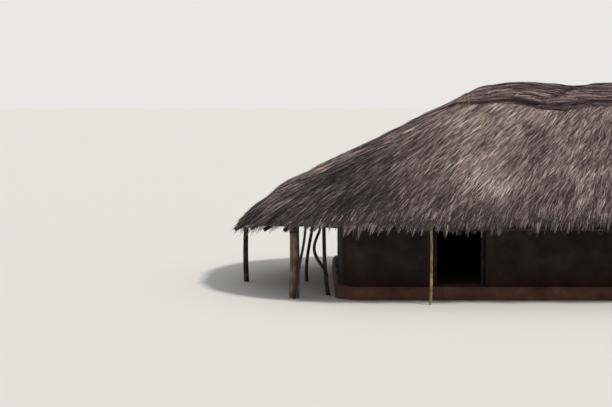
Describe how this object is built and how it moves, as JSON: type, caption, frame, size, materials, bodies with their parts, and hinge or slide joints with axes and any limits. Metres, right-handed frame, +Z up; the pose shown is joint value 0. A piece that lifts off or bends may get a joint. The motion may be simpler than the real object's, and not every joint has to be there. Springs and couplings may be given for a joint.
{
  "type": "oblong thatched hut",
  "caption": "Oblong mud-walled hut with an open doorway under a large hipped thatch roof that runs out over pole-carried verandas at both ends.",
  "frame": {"origin": "on the ground at the middle of the plan", "axes": "+X along the ridge to the right, +Y to the back, away from the doorway, +Z up"},
  "size_m": [15.4408, 8.6, 4.6029],
  "materials": {
    "thatch": "dry grass, matt",
    "crest_thatch": "dry grass, matt",
    "mud_wall": "unfired mud plaster, matt",
    "earth_plinth": "rammed earth, matt",
    "earth_floor": "smeared earth, matt",
    "roof_pole": "peeled pole, matt",
    "batten": "thin pole with bark, matt",
    "grey_post": "weathered grey wood, matt",
    "door_wood": "weathered wood, matt",
    "dark_post": "smoke-dark wood with bark, matt"
  },
  "bodies": {
    "root": {"back_battens": "batten", "back_rafters": "roof_pole", "back_wall": "mud_wall", "crest_left": "crest_thatch", "crest_right": "crest_thatch", "door_jamb_left": "door_wood", "door_jamb_right": "door_wood", "door_lintel": "door_wood", "floor": "earth_floor", "front_battens": "batten", "front_pole": "dark_post", "front_rafters": "roof_pole", "front_wall_left": "mud_wall", "front_wall_over_door": "mud_wall", "front_wall_right": "mud_wall", "leaning_pole": "dark_post", "left_back_post": "grey_post", "left_forked_post": "dark_post", "left_front_post": "grey_post", "left_inner_post": "dark_post", "left_outer_post": "dark_post", "left_rafters": "roof_pole", "left_wall": "mud_wall", "plinth": "earth_plinth", "ridge_pole": "roof_pole", "ridge_posts": "roof_pole", "right_back_post": "grey_post", "right_forked_post": "dark_post", "right_front_post": "grey_post", "right_inner_post": "dark_post", "right_outer_post": "dark_post", "right_rafters": "roof_pole", "right_wall": "mud_wall", "thatch_back_left": "thatch", "thatch_back_middle": "thatch", "thatch_back_right": "thatch", "thatch_front_left": "thatch", "thatch_front_middle": "thatch", "thatch_front_right": "thatch", "thatch_left_end": "thatch", "thatch_right_end": "thatch"}
  },
  "joints": []
}
